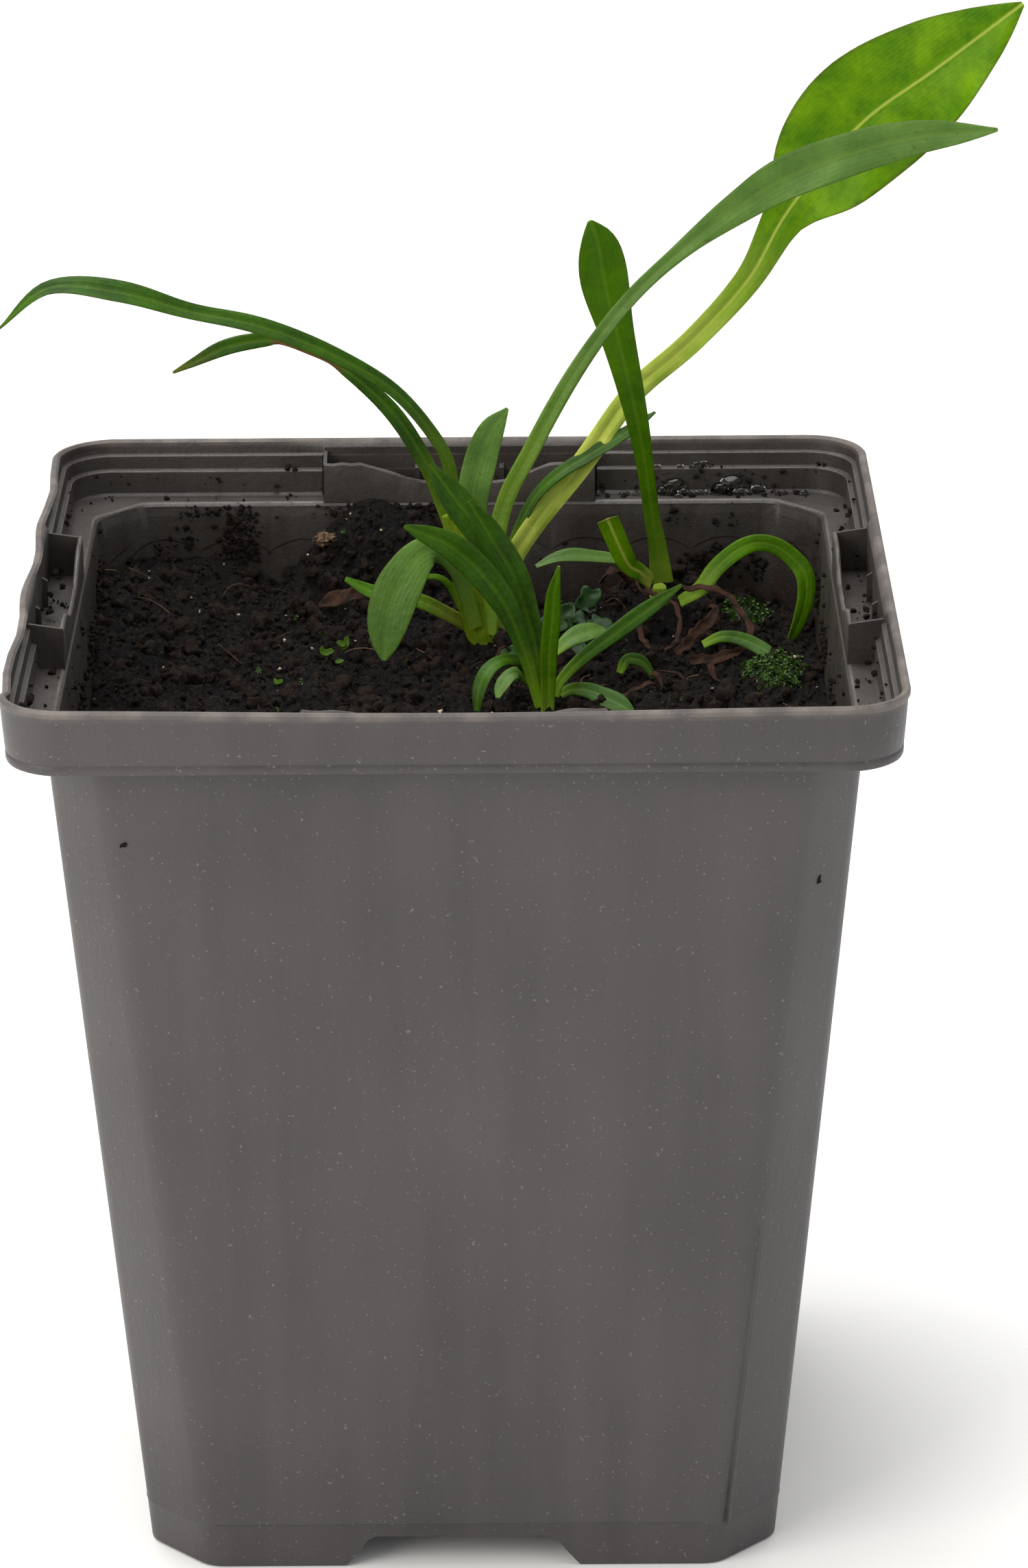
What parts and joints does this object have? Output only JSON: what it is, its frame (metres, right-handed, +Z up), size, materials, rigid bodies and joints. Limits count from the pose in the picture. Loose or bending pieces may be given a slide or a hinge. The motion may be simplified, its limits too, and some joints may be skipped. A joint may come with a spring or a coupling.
{
  "type": "potted strap-leaved young plant",
  "caption": "Young strap-leaved perennial rooted in dark peat in a square tapered nursery pot with a stepped-out collar and feet.",
  "frame": {"origin": "centre of the whole object's footprint, at the surface that the pot's feet stand on; the pot's own axis is 6.2 mm towards -X", "axes": "+Z up, +Y towards the back side of the pot, +X towards the side that the tall leaves lean to"},
  "size_m": [0.1086, 0.09, 0.1522],
  "materials": {
    "pot_plastic": "matte grey moulded plastic, faintly streaked and dusty",
    "peat": "damp dark peat with sparkling grit",
    "leaf_dark": "fresh mid-green leaf with a soft sheen",
    "leaf_light": "yellowish-green leaf with a soft sheen",
    "leaf_dull": "grey-green leaf underside",
    "crown": "pale yellowish-green sheath and crown",
    "withered": "dry brown leaf",
    "moss": "short green moss",
    "water": "clear water drops",
    "grit": "pale quartz grit",
    "fibre": "dry plant fibre and bark"
  },
  "bodies": {
    "root": {"pot": "pot_plastic", "potting_soil": "peat", "crown_main": "crown", "crown_front": "crown", "crown_right": "crown", "leaf_sheath": "crown", "leaf_tall_broad": "leaf_light", "leaf_tall_folded": "leaf_dull", "leaf_behind_narrow": "leaf_dark", "leaf_short_upright": "leaf_dull", "leaf_arching_left": "leaf_dark", "leaf_broken_left": "leaf_dark", "leaf_left_bent": "leaf_dull", "leaf_left_low": "leaf_light", "leaf_left_thin": "leaf_light", "leaf_front_tall": "leaf_dark", "leaf_front_wide": "leaf_dark", "leaf_front_left": "leaf_dark", "leaf_front_upright": "leaf_light", "leaf_front_right": "leaf_dark", "leaf_front_curled": "leaf_dark", "leaf_front_low_right": "leaf_dark", "leaf_front_low_left": "leaf_dull", "leaf_middle_low": "leaf_dull", "leaf_middle_curled": "leaf_dark", "leaf_back_spoon": "leaf_light", "leaf_back_cut": "leaf_light", "leaf_back_flat": "leaf_dull", "leaf_right_arch": "leaf_light", "leaf_right_low": "leaf_dark", "leaf_withered_left": "withered", "withered_ring": "withered", "withered_strap": "withered", "withered_coil": "withered", "withered_strand_long": "withered", "withered_strand_short": "withered", "moss_right": "moss", "moss_behind": "moss", "moss_middle": "moss"}
  },
  "joints": []
}
